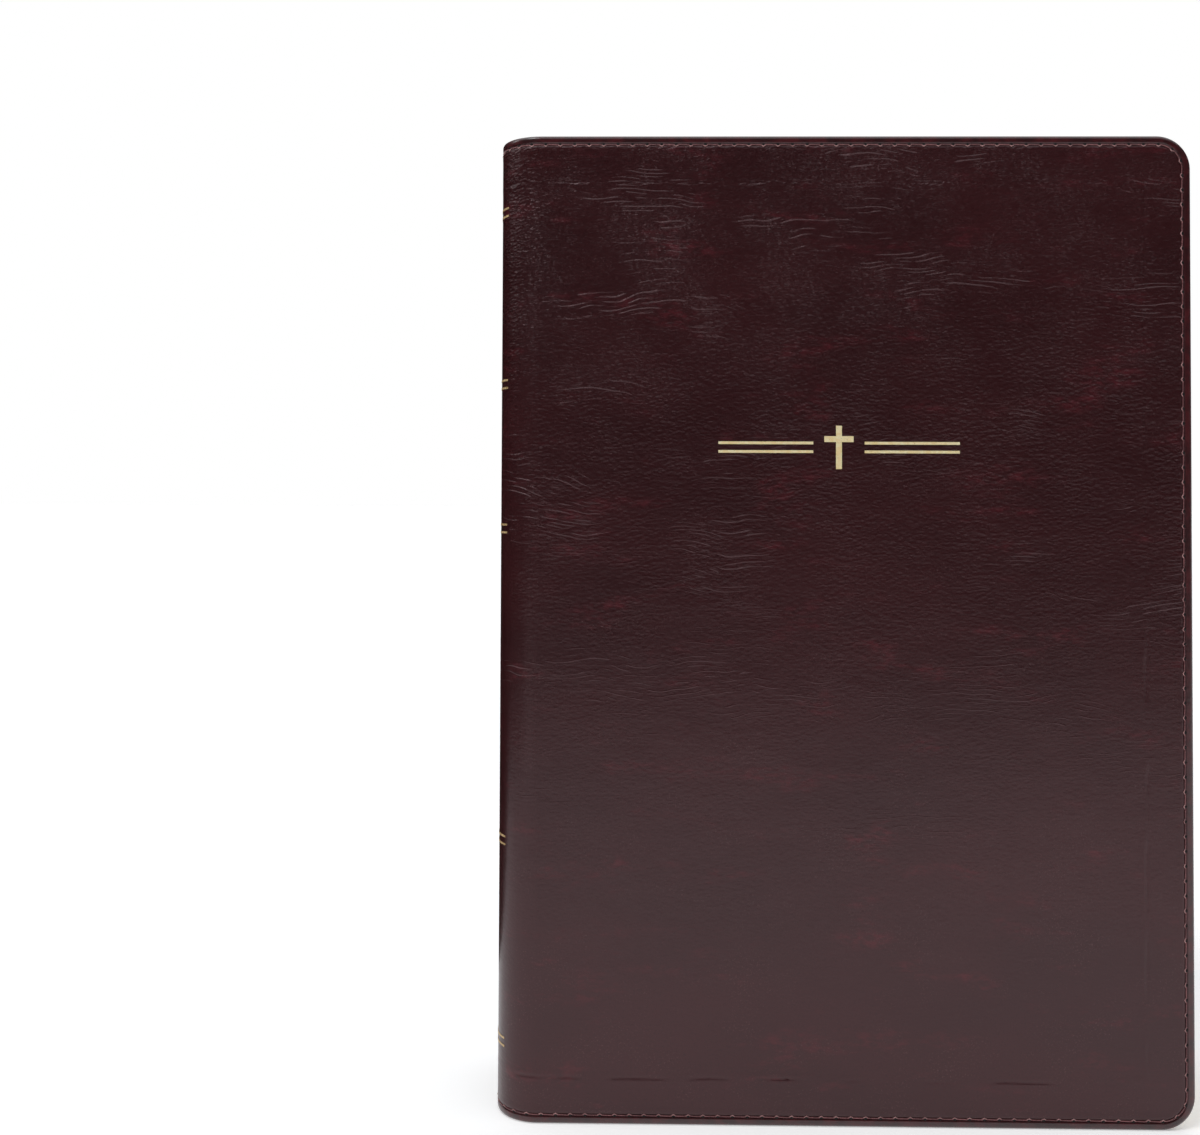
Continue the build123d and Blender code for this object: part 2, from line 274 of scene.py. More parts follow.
# ---------------------------------------------------------------- material tools
class Nodes:
    """Short way to write a node tree."""

    def __init__(self, tree):
        self.tree = tree

    def add(self, kind, inputs=None, **settings):
        """New node, with its settings, and its inputs linked or set."""
        node = self.tree.nodes.new(kind)
        for key, value in settings.items():
            setattr(node, key, value)
        for key, value in (inputs or {}).items():
            if isinstance(value, bpy.types.NodeSocket):
                self.tree.links.new(value, node.inputs[key])
            else:
                node.inputs[key].default_value = value
        return node

    def math(self, operation, a, b=0.0):
        """Result of a sum of one or two values."""
        return self.add("ShaderNodeMath", {0: a, 1: b}, operation=operation).outputs[0]

    def span(self, value, low, high, to_low=0.0, to_high=1.0):
        """A soft step from to_low to to_high, as a value goes from low to high."""
        node = self.add(
            "ShaderNodeMapRange",
            {"Value": value, "From Min": low, "From Max": high,
             "To Min": to_low, "To Max": to_high},
            interpolation_type="SMOOTHSTEP")
        return node.outputs["Result"]

    def within(self, value, low, high):
        """1 where a value lies between two limits, and 0 elsewhere."""
        return self.math("MULTIPLY", self.math("GREATER_THAN", value, low),
                         self.math("LESS_THAN", value, high))

    def mix(self, share, a, b):
        """Color between two others."""
        node = self.add("ShaderNodeMix", {0: share, 6: a, 7: b}, data_type="RGBA")
        return node.outputs[2]

    def noise(self, place, scale, detail=2.0, rough=0.5, stretch=None, shift=None):
        """Soft noise, stretched or shifted if asked."""
        if stretch or shift:
            mapping = self.add("ShaderNodeMapping", {
                "Vector": place, "Scale": stretch or (1, 1, 1),
                "Location": shift or (0, 0, 0)})
            place = mapping.outputs[0]
        node = self.add("ShaderNodeTexNoise", {
            "Vector": place, "Scale": scale, "Detail": detail, "Roughness": rough})
        return node.outputs["Fac"]

    def bump(self, height, distance, strength=1.0, normal=None):
        """Normal that a height gives, on top of another normal if there is one."""
        inputs = {"Height": height, "Distance": distance, "Strength": strength}
        if normal is not None:
            inputs["Normal"] = normal
        return self.add("ShaderNodeBump", inputs).outputs[0]


def material(name, own=True):
    """New material: its nodes, the place its patterns are laid out by, and its shader."""
    mat = bpy.data.materials.new(name)
    mat.use_nodes = True
    kit = Nodes(mat.node_tree)
    shader = mat.node_tree.nodes["Principled BSDF"]
    if own:
        place = kit.add("ShaderNodeAttribute", attribute_name="rest").outputs["Vector"]
    else:
        place = kit.add("ShaderNodeTexCoord").outputs["Object"]
    return mat, kit, place, shader


def finish_shader(kit, shader, color=None, rough=None, normal=None, **sockets):
    """Link or set the main inputs, and set the rest on the shader's own sockets."""
    for socket, value in (("Base Color", color), ("Roughness", rough), ("Normal", normal)):
        if value is None:
            continue
        if isinstance(value, bpy.types.NodeSocket):
            kit.tree.links.new(value, shader.inputs[socket])
        else:
            shader.inputs[socket].default_value = value
    for name, value in sockets.items():
        shader.inputs[name.replace("_", " ")].default_value = value


def leather_material():
    """Dark burgundy, with thin red patches, fine crease lines and pebble grain; its light flecks
    and the lighter colour along the crease lines are painted highlights.
    """
    mat, kit, place, shader = material("burgundy_leather")
    broad = kit.noise(place, 22, 3, 0.55, (0.7, 1.2, 1))
    streak = kit.noise(place, 95, 4, 0.6, (0.40, 1.25, 1), (3, 1, 0))
    fleck = kit.noise(place, 520, 3, 0.65, (0.6, 1.2, 1))
    # red shows through where the finish is thin
    thin = kit.math("MULTIPLY", kit.span(streak, 0.53, 0.72), kit.span(fleck, 0.38, 0.66))
    color = kit.mix(kit.span(broad, 0.35, 0.68), (0.0265, 0.0042, 0.0054, 1),
                    (0.0350, 0.0058, 0.0072, 1))
    speck = kit.noise(place, 1500, 3, 0.7)
    color = kit.mix(kit.span(speck, 0.50, 0.72, 0.0, 0.55), color, (0.0130, 0.0022, 0.0030, 1))
    color = kit.mix(kit.math("MULTIPLY", thin, 0.8), color, (0.082, 0.008, 0.013, 1))
    # sparse light flecks, painted highlights where the grain catches the light
    painted_glints = kit.math("MULTIPLY", kit.span(kit.noise(place, 1900, 2, 0.7), 0.56, 0.70),
                     kit.span(kit.noise(place, 75, 3, 0.6, (0.7, 1.2, 1)), 0.42, 0.66))
    color = kit.mix(kit.math("MULTIPLY", painted_glints, 0.55), color, (0.095, 0.045, 0.047, 1))
    # bundles of fine crease lines that lie across the cover, mostly in its upper part; their
    # lighter colour is painted highlight, the glint of light along each line
    up = kit.add("ShaderNodeSeparateXYZ", {0: place}).outputs["Y"]
    where = kit.span(kit.noise(place, 40, 2, 0.5, (0.55, 1.25, 1), (0, 7, 0)), 0.50, 0.64)
    where = kit.math("MULTIPLY", where, kit.span(up, 0.05, 0.15))
    creases_and_painted_glint = kit.math("MULTIPLY", crease_bundles(kit, place, up, 0.0011, 5), where)
    color = kit.mix(kit.math("MULTIPLY", creases_and_painted_glint, 0.50), color, (0.088, 0.040, 0.043, 1))
    worn = kit.span(up, 0.10, 0.22, 0.16, 1.0)
    # fine pebble grain, as cells with soft valleys
    wide = kit.add("ShaderNodeMapping", {"Vector": place, "Scale": (0.65, 1.2, 1)}).outputs[0]
    cells = kit.add("ShaderNodeTexVoronoi", {
        "Vector": wide, "Scale": 1150, "Randomness": 0.95, "Smoothness": 0.45},
        feature="SMOOTH_F1").outputs["Distance"]
    pores = kit.noise(place, 2400, 2, 0.6)
    grain = kit.math("ADD", kit.math("MULTIPLY", cells, 0.7), kit.math("MULTIPLY", pores, 0.5))
    patch = kit.noise(place, 60, 2, 0.5)
    grain = kit.math("MULTIPLY", grain, kit.span(patch, 0.32, 0.68, 0.62, 1.0))
    grain = kit.math("MULTIPLY", grain, worn)
    normal = kit.bump(grain, 0.00029, 1.0)
    normal = kit.bump(creases_and_painted_glint, 0.00012, 0.8, normal)
    normal = kit.bump(kit.noise(place, 120, 3, 0.5, (0.7, 1.1, 1)), 0.0003, 0.3, normal)
    rough = kit.math("ADD", 0.26, kit.math("MULTIPLY", fleck, 0.12))
    finish_shader(kit, shader, color, rough, normal, Specular_IOR_Level=0.55,
                  Specular_Tint=(1.0, 0.76, 0.79, 1), Coat_Weight=0.10, Coat_Roughness=0.2)
    return mat


def crease_bundles(kit, place, up, pitch, seed):
    """Fine lines side by side that wander together, each broken along its length."""
    wander = kit.noise(place, 36, 2, 0.5, (0.8, 1, 1), (seed, 0, 4))
    ripple = kit.noise(place, 190, 2, 0.5, (0.5, 1, 1), (seed, 3, 0))
    level = kit.math("ADD", up, kit.math("MULTIPLY", wander, 0.014))
    level = kit.math("ADD", level, kit.math("MULTIPLY", ripple, 0.0013))
    wave = kit.math("PINGPONG", kit.math("DIVIDE", level, pitch / 2), 1.0)
    whole = kit.noise(place, 240, 2, 0.5, (0.28, 2.4, 1), (seed, 9, 0))
    return kit.math("MULTIPLY", kit.span(wave, 0.72, 0.98), kit.span(whole, 0.47, 0.60))


def edge_leather_material():
    """The rolled edge, where the finish shows a deeper red."""
    mat, kit, place, shader = material("rolled_edge_leather")
    fleck = kit.noise(place, 300, 3, 0.6)
    color = kit.mix(kit.span(fleck, 0.35, 0.7), (0.030, 0.0065, 0.0080, 1),
                    (0.070, 0.0080, 0.0110, 1))
    cells = kit.add("ShaderNodeTexVoronoi", {"Vector": place, "Scale": 1300},
                    feature="SMOOTH_F1").outputs["Distance"]
    normal = kit.bump(cells, 0.00006, 0.5)
    rough = kit.math("ADD", 0.26, kit.math("MULTIPLY", fleck, 0.10))
    finish_shader(kit, shader, color, rough, normal, Coat_Weight=0.4, Coat_Roughness=0.2)
    return mat


def thread_material(name, dark, light):
    """Twisted thread, in a range of two tones."""
    mat, kit, place, shader = material(name)
    fibres = kit.noise(place, 2600, 2, 0.6)
    tone = kit.noise(place, 180, 2, 0.5)
    share = kit.math("ADD", kit.math("MULTIPLY", fibres, 0.6), kit.math("MULTIPLY", tone, 0.5))
    color = kit.mix(kit.span(share, 0.3, 0.8), dark, light)
    normal = kit.bump(fibres, 0.00005, 0.6)
    finish_shader(kit, shader, color, 0.5, normal, Sheen_Weight=0.3, Sheen_Roughness=0.4)
    return mat


def hole_material():
    """Almost black blob, painted shade that stands for the inside of a needle hole."""
    mat, kit, place, shader = material("needle_hole_shade")
    tone = kit.noise(place, 900, 2, 0.5)
    color = kit.mix(tone, (0.003, 0.0015, 0.0015, 1), (0.012, 0.003, 0.004, 1))
    finish_shader(kit, shader, color, 0.8)
    return mat


def foil_material(name, low, high):
    """Pressed gold foil, in a range of two tones."""
    mat, kit, place, shader = material(name, own=False)
    cloud = kit.noise(place, 900, 3, 0.6)
    grain = kit.noise(place, 3500, 2, 0.6)
    color = kit.mix(kit.span(cloud, 0.3, 0.75), low, high)
    # specks where the leather's grain took no foil
    worn = kit.span(grain, 0.27, 0.33, 1.0, 0.0)
    color = kit.mix(kit.math("MULTIPLY", worn, 0.8), color, (0.10, 0.03, 0.02, 1))
    rough = kit.math("ADD", 0.36, kit.math("MULTIPLY", grain, 0.22))
    metal = kit.math("SUBTRACT", 0.30, kit.math("MULTIPLY", worn, 0.3))
    kit.tree.links.new(metal, shader.inputs["Metallic"])
    finish_shader(kit, shader, color, rough, kit.bump(grain, 0.00003, 0.4))
    return mat


def leaf_streaks(kit, place):
    """Fine lines of stacked leaf edges, which run along the block."""
    coarse = kit.noise(place, 1.0, 2, 0.5, (14, 2600, 14))
    fine = kit.noise(place, 1.0, 2, 0.6, (30, 7500, 30), (2, 2, 2))
    return kit.math("ADD", kit.math("MULTIPLY", coarse, 0.6), kit.math("MULTIPLY", fine, 0.4))


def gilt_edge_material():
    """Gold on the cut edges of the leaves."""
    mat, kit, place, shader = material("gilt_page_edge")
    streaks = leaf_streaks(kit, place)
    cloud = kit.noise(place, 40, 3, 0.5)
    color = kit.mix(kit.span(streaks, 0.30, 0.70), (0.52, 0.35, 0.12, 1), (0.93, 0.74, 0.37, 1))
    color = kit.mix(kit.span(cloud, 0.3, 0.8, 0.0, 0.35), color, (0.80, 0.56, 0.24, 1))
    rough = kit.math("ADD", 0.28, kit.math("MULTIPLY", streaks, 0.25))
    finish_shader(kit, shader, color, rough, kit.bump(streaks, 0.00012, 0.7), Metallic=0.7)
    return mat


def page_material():
    """Cream page with printed columns and a slight wave."""
    mat, kit, place, shader = material("page_paper_printed")
    fibre = kit.noise(place, 1800, 3, 0.6)
    cloud = kit.noise(place, 90, 3, 0.5)
    color = kit.mix(kit.span(kit.math("ADD", fibre, cloud), 0.75, 1.3),
                    (0.80, 0.75, 0.64, 1), (0.88, 0.84, 0.74, 1))
    color = printed_columns(kit, place, color)
    normal = kit.bump(fibre, 0.00003, 0.35)
    normal = kit.bump(kit.noise(place, 14, 2, 0.5, (1, 1, 0.4)), 0.0012, 0.3, normal)
    finish_shader(kit, shader, color, 0.62, normal)
    return mat


def printed_columns(kit, place, color):
    """Two columns of plain grey bars that stand for lines of text, with no letters."""
    axes = kit.add("ShaderNodeSeparateXYZ", {0: place}).outputs
    across, up = axes["X"], axes["Z"]
    line_pitch, bar_share = 0.0048, 0.42
    turns = kit.math("DIVIDE", up, line_pitch)
    row = kit.math("FLOOR", turns)
    in_bar = kit.math("LESS_THAN", kit.math("FRACT", turns), bar_share)
    left, right = [kit.within(across, *ends)
                   for ends in ((-0.0480, 0.0080), (0.0145, 0.0705))]
    columns = kit.math("MAXIMUM", left, right)
    tall = kit.within(up, 0.0195, 0.2290)
    key = kit.add("ShaderNodeCombineXYZ", {
        0: kit.math("MULTIPLY", across, 420), 1: kit.math("MULTIPLY", row, 7.31), 2: 0.0})
    words = kit.add("ShaderNodeTexNoise", {
        "Vector": key.outputs[0], "Scale": 1.0, "Detail": 1.0}).outputs["Fac"]
    ink = kit.math("MULTIPLY", in_bar, kit.math("GREATER_THAN", words, 0.40))
    ink = kit.math("MULTIPLY", ink, kit.math("MULTIPLY", columns, tall))
    ragged = kit.noise(place, 3000, 2, 0.7)
    ink = kit.math("MULTIPLY", ink, kit.span(ragged, 0.35, 0.55, 0.35, 0.75))
    return kit.mix(ink, color, (0.045, 0.042, 0.045, 1))


def lining_material(name, own):
    """Burgundy lining paper with a fine embossed grain."""
    mat, kit, place, shader = material(name, own)
    cloud = kit.noise(place, 45, 3, 0.55)
    cells = kit.add("ShaderNodeTexVoronoi", {"Vector": place, "Scale": 900},
                    feature="SMOOTH_F1").outputs["Distance"]
    color = kit.mix(kit.span(cloud, 0.3, 0.7), (0.046, 0.012, 0.014, 1),
                    (0.070, 0.018, 0.020, 1))
    color = kit.mix(kit.span(cells, 0.2, 0.7, 0.0, 0.35), color, (0.025, 0.006, 0.008, 1))
    rough = kit.math("ADD", 0.46, kit.math("MULTIPLY", cloud, 0.14))
    finish_shader(kit, shader, color, rough, kit.bump(cells, 0.00008, 0.5))
    return mat


def woven_material(name, low, high, pitch):
    """Open cloth: two crossing sets of threads."""
    mat, kit, place, shader = material(name, own=False)
    axes = kit.add("ShaderNodeSeparateXYZ", {0: place}).outputs
    warp = kit.math("SINE", kit.math("MULTIPLY", axes["Y"], 2 * pi / pitch))
    weft = kit.math("SINE", kit.math("MULTIPLY", axes["Z"], 2 * pi / pitch))
    weave = kit.math("MAXIMUM", warp, weft)
    grime = kit.noise(place, 300, 3, 0.6)
    color = kit.mix(kit.span(weave, -0.4, 0.8), low, high)
    color = kit.mix(kit.math("MULTIPLY", grime, 0.3), color, low)
    finish_shader(kit, shader, color, 0.85, kit.bump(weave, 0.0001, 0.7))
    return mat


def card_material(name, low, high):
    """Fibrous board or brown paper, in a range of two tones."""
    mat, kit, place, shader = material(name, own=False)
    fibre = kit.noise(place, 700, 4, 0.65)
    specks = kit.noise(place, 2200, 2, 0.6)
    color = kit.mix(kit.span(fibre, 0.3, 0.7), low, high)
    color = kit.mix(kit.span(specks, 0.62, 0.72, 0.0, 0.4), color, low)
    finish_shader(kit, shader, color, 0.85, kit.bump(fibre, 0.0001, 0.5))
    return mat


def silk_material():
    """Headband: alternating wraps of dark red and cream silk."""
    mat, kit, place, shader = material("headband_stripes")
    axes = kit.add("ShaderNodeSeparateXYZ", {0: place}).outputs
    wave = kit.math("SINE", kit.math("MULTIPLY", axes["Y"], pi / (BEAD_PITCH * MM)))
    fibres = kit.noise(place, 1.0, 2, 0.6, (2500, 9000, 2500))
    color = kit.mix(kit.span(wave, -0.12, 0.12), (0.20, 0.014, 0.02, 1), (0.74, 0.62, 0.42, 1))
    color = kit.mix(kit.math("MULTIPLY", fibres, 0.35), color, (0.05, 0.02, 0.015, 1))
    finish_shader(kit, shader, color, 0.42, kit.bump(fibres, 0.00005, 0.6), Sheen_Weight=0.3)
    return mat


leather = leather_material()
edge_leather = edge_leather_material()
cover_thread = thread_material("burgundy_thread", (0.070, 0.018, 0.022, 1),
                               (0.260, 0.095, 0.098, 1))
# the loops are a lighter copy of the same thread: painted highlight where the thread catches the
# light at the holes
loop_thread_painted_highlight = thread_material("burgundy_thread_loop_painted_highlight", (0.200, 0.082, 0.083, 1),
                              (0.470, 0.255, 0.248, 1))
needle_hole_shade = hole_material()
gilt_edge = gilt_edge_material()
printed_page = page_material()
endpaper = lining_material("endpaper", own=True)
silk = silk_material()
cad_finish = {
    "lining": lining_material("lining_paper_grain", own=False),
    "board": card_material("board_card", (0.30, 0.23, 0.16, 1), (0.50, 0.42, 0.32, 1)),
    "inlay": card_material("inlay_card", (0.28, 0.22, 0.16, 1), (0.46, 0.39, 0.30, 1)),
    "spine_paper": card_material("kraft_paper", (0.30, 0.20, 0.11, 1),
                                 (0.50, 0.36, 0.22, 1)),
    "gauze": woven_material("gauze_weave", (0.45, 0.41, 0.33, 1),
                            (0.84, 0.80, 0.70, 1), 0.0009),
    "sewing": woven_material("linen_thread", (0.55, 0.52, 0.45, 1),
                             (0.90, 0.87, 0.80, 1), 0.0003),
    "foil": foil_material("gold_foil_leaf", (0.96, 0.74, 0.36, 1), (1.0, 0.90, 0.58, 1)),
    # darker copy of the same gold foil for the spine lines: painted shade
    "foil_painted_shade": foil_material("gold_foil_leaf_painted_shade", (0.42, 0.27, 0.12, 1),
                               (0.72, 0.52, 0.27, 1)),
}


# ---------------------------------------------------------------- leather
def relief(run, z, inset, side):
    """Depth of the leather's face below the foil: stitch line, turn-in edge, soft swells."""
    place = Vector((run * 0.012, z * 0.012, 3.1 * side))
    swell = noise.noise(place) * 0.5 + noise.noise(place * 3.1) * 0.22
    groove = GROOVE_DEPTH * exp(-(((inset - STITCH_INSET) / GROOVE_WIDTH) ** 2))
    edge = noise.noise(Vector((run * 0.03, z * 0.03, 9.0 + side)))
    broken = noise.noise(Vector((run * 0.11, z * 0.11, 4.0 + side)))
    step = TURN_IN_STEP + 0.5 * edge + 0.5 * broken
    ridge = 0.09 * exp(-(((inset - step) / 0.8) ** 2)) * smooth(-0.35, 0.30, edge)
    crack = 0.19 * exp(-(((inset - step + 0.9) / 0.34) ** 2)) * smooth(-0.15, 0.25, broken)
    fall = 0.03 * smooth(step - 1.0, step + 1.0, inset) + crack
    welt = 0.035 * exp(-(((inset - WELT_INSET) / 0.7) ** 2))
    quiet = smooth(1.0, 5.0, inset)
    return FACE_SUNK + groove + fall + 0.02 * quiet * (swell + 0.6) - ridge * 0.7 - welt


ring_profile = [
    (ROLL * (1 - sin(radians(a))), FACE_SUNK + ROLL * (1 - cos(radians(a))))
    for a in (18, 36, 54, 72, 90)
]
ring_profile += [
    (ROLL_IN * (1 - cos(radians(a))), 1.2 + (BACK_DEPTH - 1.2) * sin(radians(a)))
    for a in (0, 22, 45, 68, 90)
]
EDGE_RINGS = len(ring_profile)
ring_profile += [
    (2.4, BACK_DEPTH), (5.0, BACK_DEPTH), (TURN_IN_END, BACK_DEPTH),
    (TURN_IN_END, TURN_IN_DEPTH), (4.5, TURN_IN_DEPTH), (HOLLOW_INSET, TURN_IN_DEPTH),
    (HOLLOW_INSET, INNER_DEPTH),
]

wrap_runs = steps(spine_start, joint_x - shoulder_run, 1.0)
wrap_runs += steps(joint_x - shoulder_run, hinge_x - BEND_HALF, 0.6)[1:]
wrap_runs += steps(hinge_x - BEND_HALF, hinge_x + BEND_HALF, 0.2)[1:]
wrap_runs += steps(hinge_x + BEND_HALF, FORE_X - PRINT_HIGH, 1.1)[1:]
wrap_runs += steps(FORE_X - PRINT_HIGH, FORE_X - PRINT_LOW, 0.35)[1:]
wrap_runs += steps(FORE_X - PRINT_LOW, FORE_X - COVER_CORNER, 1.0)[1:]
wrap_levels = steps(COVER_CORNER, PRINT_LOW, 1.0)
wrap_levels += steps(PRINT_LOW, PRINT_HIGH, 0.35)[1:]
wrap_levels += steps(PRINT_HIGH, HEIGHT - PRINT_HIGH, 1.1)[1:]
wrap_levels += steps(HEIGHT - PRINT_HIGH, HEIGHT - PRINT_LOW, 0.35)[1:]
wrap_levels += steps(HEIGHT - PRINT_LOW, HEIGHT - COVER_CORNER, 1.0)[1:]
wrap_plan = Plan(wrap_runs, FACE_INSETS, COVER_CORNER, 0, HEIGHT, FORE_X, wrap_levels)


def leather_wrap(name, side):
    """Half of the leather: from the middle of the spine, over the cover, turned in behind it."""
    plan = wrap_plan
    verts, rest = [], []

    def put(run, z, depth, flat_run, flat_z):
        x, y = wrap_point(run, depth)
        verts.append((x, -side * y, z))
        rest.append((side * (flat_run - spine_start), flat_z, 0.0))

    for c in range(plan.column_count):
        for r in range(plan.row_count):
            run, z, inset = plan.point(c, r)
            put(run, z, relief(run, z, inset, side), run, z)
    inner = len(verts)
    for c in range(plan.column_count):
        for r in range(plan.row_count):
            run, z, inset = plan.point(c, r)
            put(run, z, INNER_DEPTH, run, z)
    path = plan.path()
    rings = []
    spread = 0.0
    last = (ROLL, FACE_SUNK)
    for inset, depth in ring_profile:
        spread += sqrt((inset - last[0]) ** 2 + (depth - last[1]) ** 2)
        last = (inset, depth)
        rings.append(len(verts))
        for c, r in path:
            run, z = plan.ring_point(c, r, inset)
            flat_run, flat_z = plan.ring_point(c, r, ROLL - spread)
            put(run, z, depth, flat_run, flat_z)

    def in_border(index):
        """Whether a point of the face lies in the deeper red edge."""
        return plan.point(*divmod(index, plan.row_count))[2] < EDGE_BORDER

    faces = grid_faces(plan, 0)
    slots = [1 if in_border(f[2]) or in_border(f[0]) else 0 for f in faces]
    faces += [tuple(reversed(f)) for f in grid_faces(plan, inner)]
    slots += [0] * (len(faces) - len(slots))
    outer_path = [c * plan.row_count + r for c, r in path]
    inner_path = [inner + i for i in outer_path]
    loops = [outer_path] + [[k + p for p in range(len(path))] for k in rings]
    loops.append(inner_path)
    for number, (a, b) in enumerate(zip(loops, loops[1:])):
        for p in range(len(path) - 1):
            faces.append((a[p], a[p + 1], b[p + 1], b[p]))
            slots.append(1 if number < EDGE_RINGS + 1 else 0)
    for p in (0, len(path) - 1):
        faces.append(tuple(loop[p] for loop in loops))
        slots.append(0)
    for r in range(plan.row_count - 1):
        faces.append((r, r + 1, inner + r + 1, inner + r))
        slots.append(0)
    return make_object(name, verts, faces, [leather, edge_leather], slots, rest)


def tube(points, radii, sides, verts, faces, slots, slot, normals):
    """Closed tube through points, with a radius and an outward way at each."""
    rings = []
    for i, point in enumerate(points):
        ahead = points[min(i + 1, len(points) - 1)] - points[max(i - 1, 0)]
        ahead.normalize()
        up = normals[i]
        across = ahead.cross(up).normalized()
        up = across.cross(ahead).normalized()
        rings.append(len(verts))
        for k in range(sides):
            angle = 2 * pi * k / sides
            spot = point + (across * cos(angle) + up * sin(angle)) * radii[i]
            verts.append(tuple(spot))
    for a, b in zip(rings, rings[1:]):
        for k in range(sides):
            n = (k + 1) % sides
            faces.append((a + k, a + n, b + n, b + k))
            slots.append(slot)
    faces.append(tuple(rings[0] + k for k in reversed(range(sides))))
    faces.append(tuple(rings[-1] + k for k in range(sides)))
    slots.extend([slot, slot])


def stitch_track(side):
    """Function that gives a point on the stitch line, and the line's whole length."""
    corner = COVER_CORNER - STITCH_INSET
    corner_x, low, high = FORE_X - COVER_CORNER, COVER_CORNER, HEIGHT - COVER_CORNER
    flat = corner_x - spine_start
    arc = corner * pi / 2
    legs = (flat, arc, high - low, arc, flat)

    def at(length):
        for leg, size in enumerate(legs):
            if length <= size or leg == 4:
                break
            length -= size
        if leg == 0:
            run, z = spine_start + length, HEIGHT - STITCH_INSET
        elif leg == 1:
            turn = length / corner
            run, z = corner_x + corner * sin(turn), high + corner * cos(turn)
        elif leg == 2:
            run, z = FORE_X - STITCH_INSET, high - length
        elif leg == 3:
            turn = length / corner
            run, z = corner_x + corner * cos(turn), low - corner * sin(turn)
        else:
            run, z = corner_x - length, STITCH_INSET
        return run, z

    def place(length, depth):
        run, z = at(length)
        x, y = wrap_point(run, depth)
        return Vector((x, -side * y, z))

    return place, sum(legs)


def add_needle_hole(place, begin, side, verts, faces, slots):
    """Dark round blob, painted shade for the inside of a needle hole, and the loop of thread
    that is drawn around its inner side, in a lighter thread as a painted highlight.
    """

    def spot(ahead, inward, depth):
        point = place(begin + ahead, depth)
        outside = (place(begin + ahead, depth - 0.5) - point).normalized()
        way = place(begin + ahead + 0.05, depth) - point
        across = way.cross(outside).normalized() * -side
        return point + across * inward, outside

    # dark blob of painted shade where the hole is
    hole = [spot(ahead, HOLE_SHIFT, HOLE_DEPTH) for ahead, _ in HOLE_SHAPE]
    tube([h[0] for h in hole], [radius for _, radius in HOLE_SHAPE], 10,
         verts, faces, slots, 1, [h[1] for h in hole])
    # the loop takes the lighter thread, a painted highlight
    loop = [
        spot(t * LOOP_HALF, LOOP_REACH * (1 - abs(t)), LOOP_DEPTH + 0.20 * t**2)
        for t, _ in LOOP_SHAPE
    ]
    tube([p[0] for p in loop], [radius for _, radius in LOOP_SHAPE], 8,
         verts, faces, slots, 2, [p[1] for p in loop])


def stitches(name, side):
    """Separate stitches that dip into their needle holes, all along the line."""
    place, total = stitch_track(side)
    count = round(total / STITCH_PITCH)
    pitch = total / count
    verts, faces, slots = [], [], []
    for k in range(count):
        begin = k * pitch
        points, radii, ways = [], [], []
        for share in STITCH_SHARES:
            rise = min(share, 1 - share)
            sink = THREAD_SINK * (1 - smooth(0.0, 0.17, rise))
            lean = 0.10 * (share - 0.5)
            depth = THREAD_DEPTH + sink + 0.02 * noise.noise(Vector((begin, share, 5)))
            point = place(begin + share * pitch, depth)
            outside = (place(begin + share * pitch, depth - 0.5) - point).normalized()
            ahead = place(begin + share * pitch + 0.05, depth) - point
            sideways = ahead.cross(outside).normalized()
            points.append(point + sideways * lean)
            radii.append(THREAD_RADIUS * (0.55 + 0.45 * smooth(0.0, 0.12, rise)))
            ways.append(outside)
        tube(points, radii, 8, verts, faces, slots, 0, ways)
        if k > 0:
            add_needle_hole(place, begin, side, verts, faces, slots)
    mats = [cover_thread, needle_hole_shade, loop_thread_painted_highlight]
    return make_object(name, verts, faces, mats, slots, angle=60)


def add_cover(side, word):
    """Leather and stitches of one cover, which take the place of its CAD skin and stitching."""
    wrap = leather_wrap(word + "_leather", side)
    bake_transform(wrap)
    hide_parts(word + "_cover_skin", *(["spine_skin"] if side < 0 else []))
    line = stitches(word + "_stitches", side)
    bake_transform(line)
    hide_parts(word + "_cover_stitching", *(["spine_stitching"] if side < 0 else []))


add_cover(-1, "front")
add_cover(1, "back")


# ---------------------------------------------------------------- pages
def fold_x(middle):
    """Centre of the rounded fold of a section that is seated in the spine's inner curve."""
    depth = SEAT_DEPTH + SECTION / 2
    bend = crown_radius - depth
    if abs(middle) <= bend * sin(radians(crown_angle)):
        return crown_x - sqrt(bend**2 - middle**2)
    reach = max(SHOULDER_RADIUS - depth, 0)
    rise = abs(middle) - shoulder_y
    return joint_x - sqrt(max(reach**2 - rise**2, 0))


def fore_edge_x(middle):
    """Where the hollow fore-edge of the pages lies, across the book's thickness."""
    share = 2 * middle / BLOCK
    return FORE_X - FORE_SQUARE - FORE_EDGE_HOLLOW * (1 - share**2)


